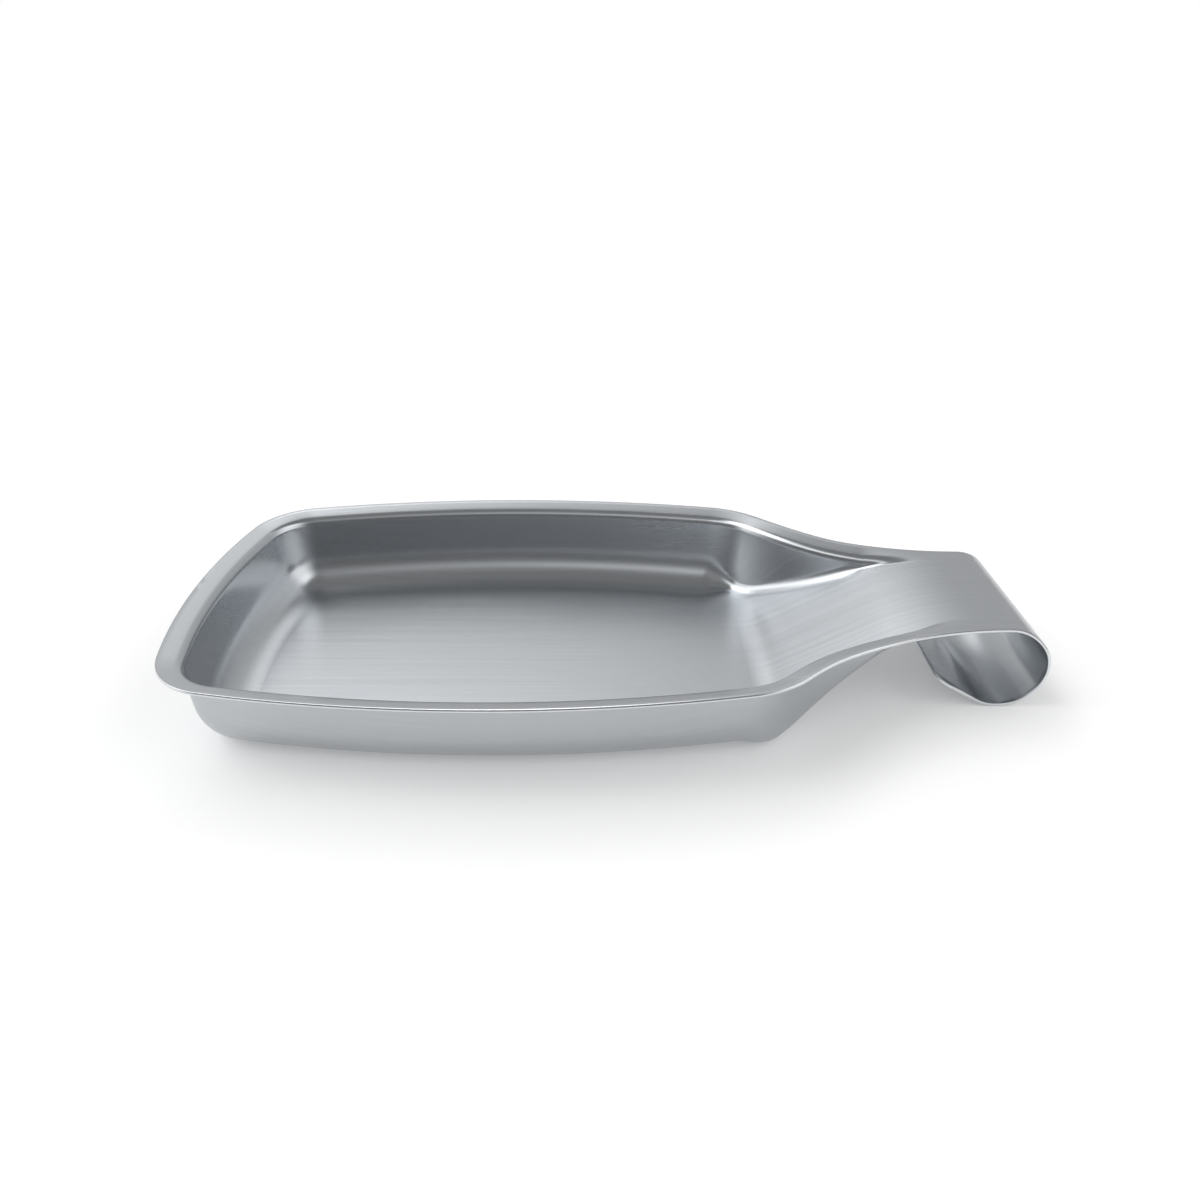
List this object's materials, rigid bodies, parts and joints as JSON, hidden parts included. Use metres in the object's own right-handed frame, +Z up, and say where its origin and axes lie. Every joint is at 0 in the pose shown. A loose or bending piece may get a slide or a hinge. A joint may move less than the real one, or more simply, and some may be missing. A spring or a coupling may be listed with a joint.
{
  "type": "spoon rest",
  "caption": "Pressed satin steel spoon rest: shallow bowed tray with a flared rim, ramped neck and flat handle rolled under into an open curl.",
  "frame": {"origin": "centre of the footprint, on the table that the tray floor and the curl stand on", "axes": "+X from the tray end towards the curled handle, +Y across the tray, +Z up out of the tray"},
  "size_m": [0.24, 0.12, 0.0255],
  "materials": {
    "satin_steel": "satin stainless steel with fine grain along its length and a brighter cut edge"
  },
  "bodies": {
    "root": {"tray_floor": "satin_steel", "end_wall": "satin_steel", "back_wall": "satin_steel", "front_wall": "satin_steel", "back_neck": "satin_steel", "front_neck": "satin_steel", "end_rim": "satin_steel", "back_rim": "satin_steel", "front_rim": "satin_steel", "handle_ramp": "satin_steel", "handle_curl": "satin_steel", "curl_tail": "satin_steel"}
  },
  "joints": []
}
